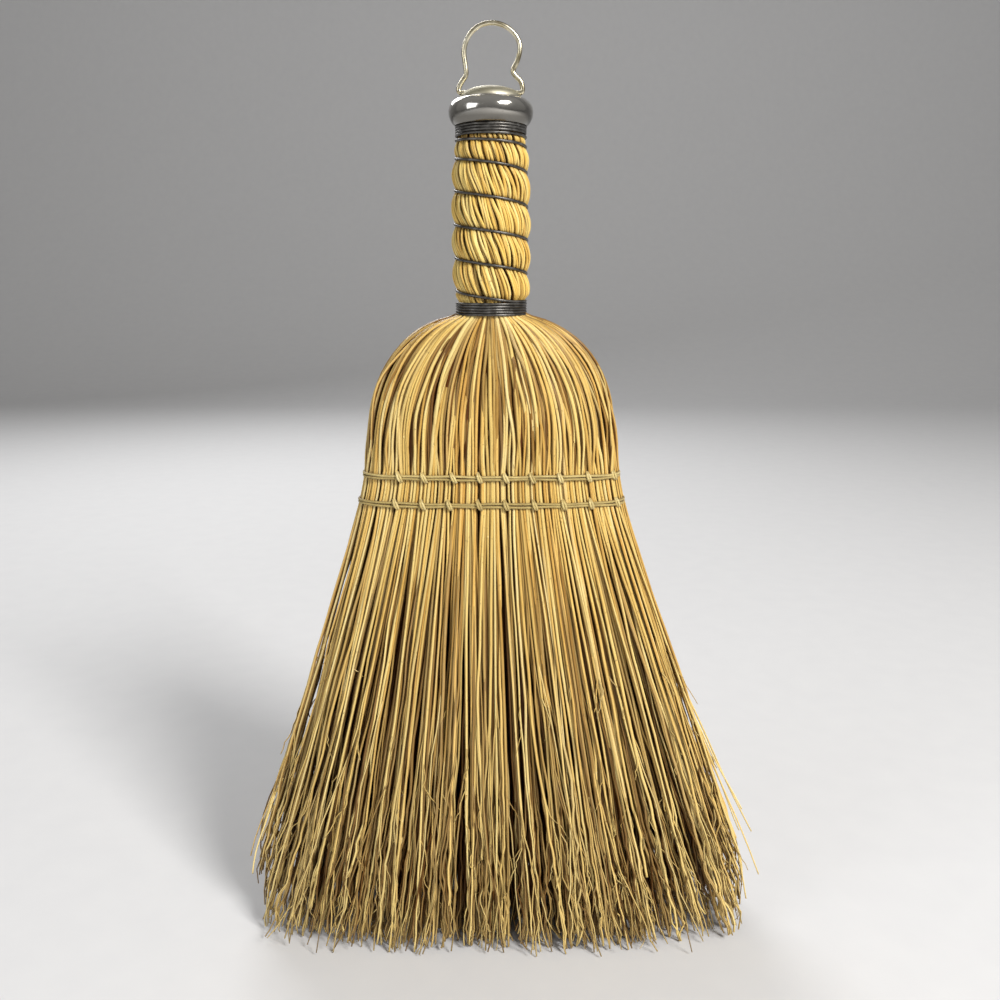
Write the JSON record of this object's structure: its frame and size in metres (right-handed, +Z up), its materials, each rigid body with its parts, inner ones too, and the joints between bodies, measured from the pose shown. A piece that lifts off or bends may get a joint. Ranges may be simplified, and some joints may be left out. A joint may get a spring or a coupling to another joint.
{
  "type": "whisk broom",
  "caption": "Hand whisk broom: a wire-bound straw handle under a metal cap with a swinging hanging loop, and a flat flared brush stitched through with twine.",
  "frame": {"origin": "middle of the trimmed straw tips, on the surface that the broom stands on", "axes": "+Z up along the handle, +X along the wide face of the brush, and the front face looks along -Y"},
  "size_m": [0.1802, 0.0484, 0.3226],
  "materials": {
    "loop_metal": "bright pale brass-toned wire, lightly tarnished",
    "cap_metal": "polished nickel plate, worn warmer on the dome",
    "binding_wire": "dark annealed wire with a soft sheen",
    "handle_straw": "dry golden broomcorn stalks",
    "stalk_straw": "dry broomcorn stalks in shade",
    "brush_straw": "dry golden broomcorn straw, slightly glossy",
    "stitch_twine": "waxed pale olive twine"
  },
  "bodies": {
    "broom": {"end_cap": "cap_metal", "binding_wire": "binding_wire", "core_tie_wire": "binding_wire", "core_stalks": "stalk_straw", "handle_stalks": "handle_straw", "centre_bunch": "stalk_straw", "left_shoulder_bunch": "brush_straw", "right_shoulder_bunch": "brush_straw", "front_tuft_1": "brush_straw", "front_tuft_2": "brush_straw", "front_tuft_3": "brush_straw", "front_tuft_4": "brush_straw", "front_tuft_5": "brush_straw", "front_tuft_6": "brush_straw", "front_tuft_7": "brush_straw", "back_tuft_1": "brush_straw", "back_tuft_2": "brush_straw", "back_tuft_3": "brush_straw", "back_tuft_4": "brush_straw", "back_tuft_5": "brush_straw", "back_tuft_6": "brush_straw", "back_tuft_7": "brush_straw", "upper_stitch_cord": "stitch_twine", "upper_stitches": "stitch_twine", "lower_stitch_cord": "stitch_twine", "lower_stitches": "stitch_twine"},
    "loop": {"hanging_loop": "loop_metal"}
  },
  "joints": [
    {"name": "loop_swing", "type": "hinge", "parent": "broom", "child": "loop", "pos_m": [0, 0, 0.3006], "axis": [1, 0, 0], "range_deg": [-76, 76]}
  ]
}
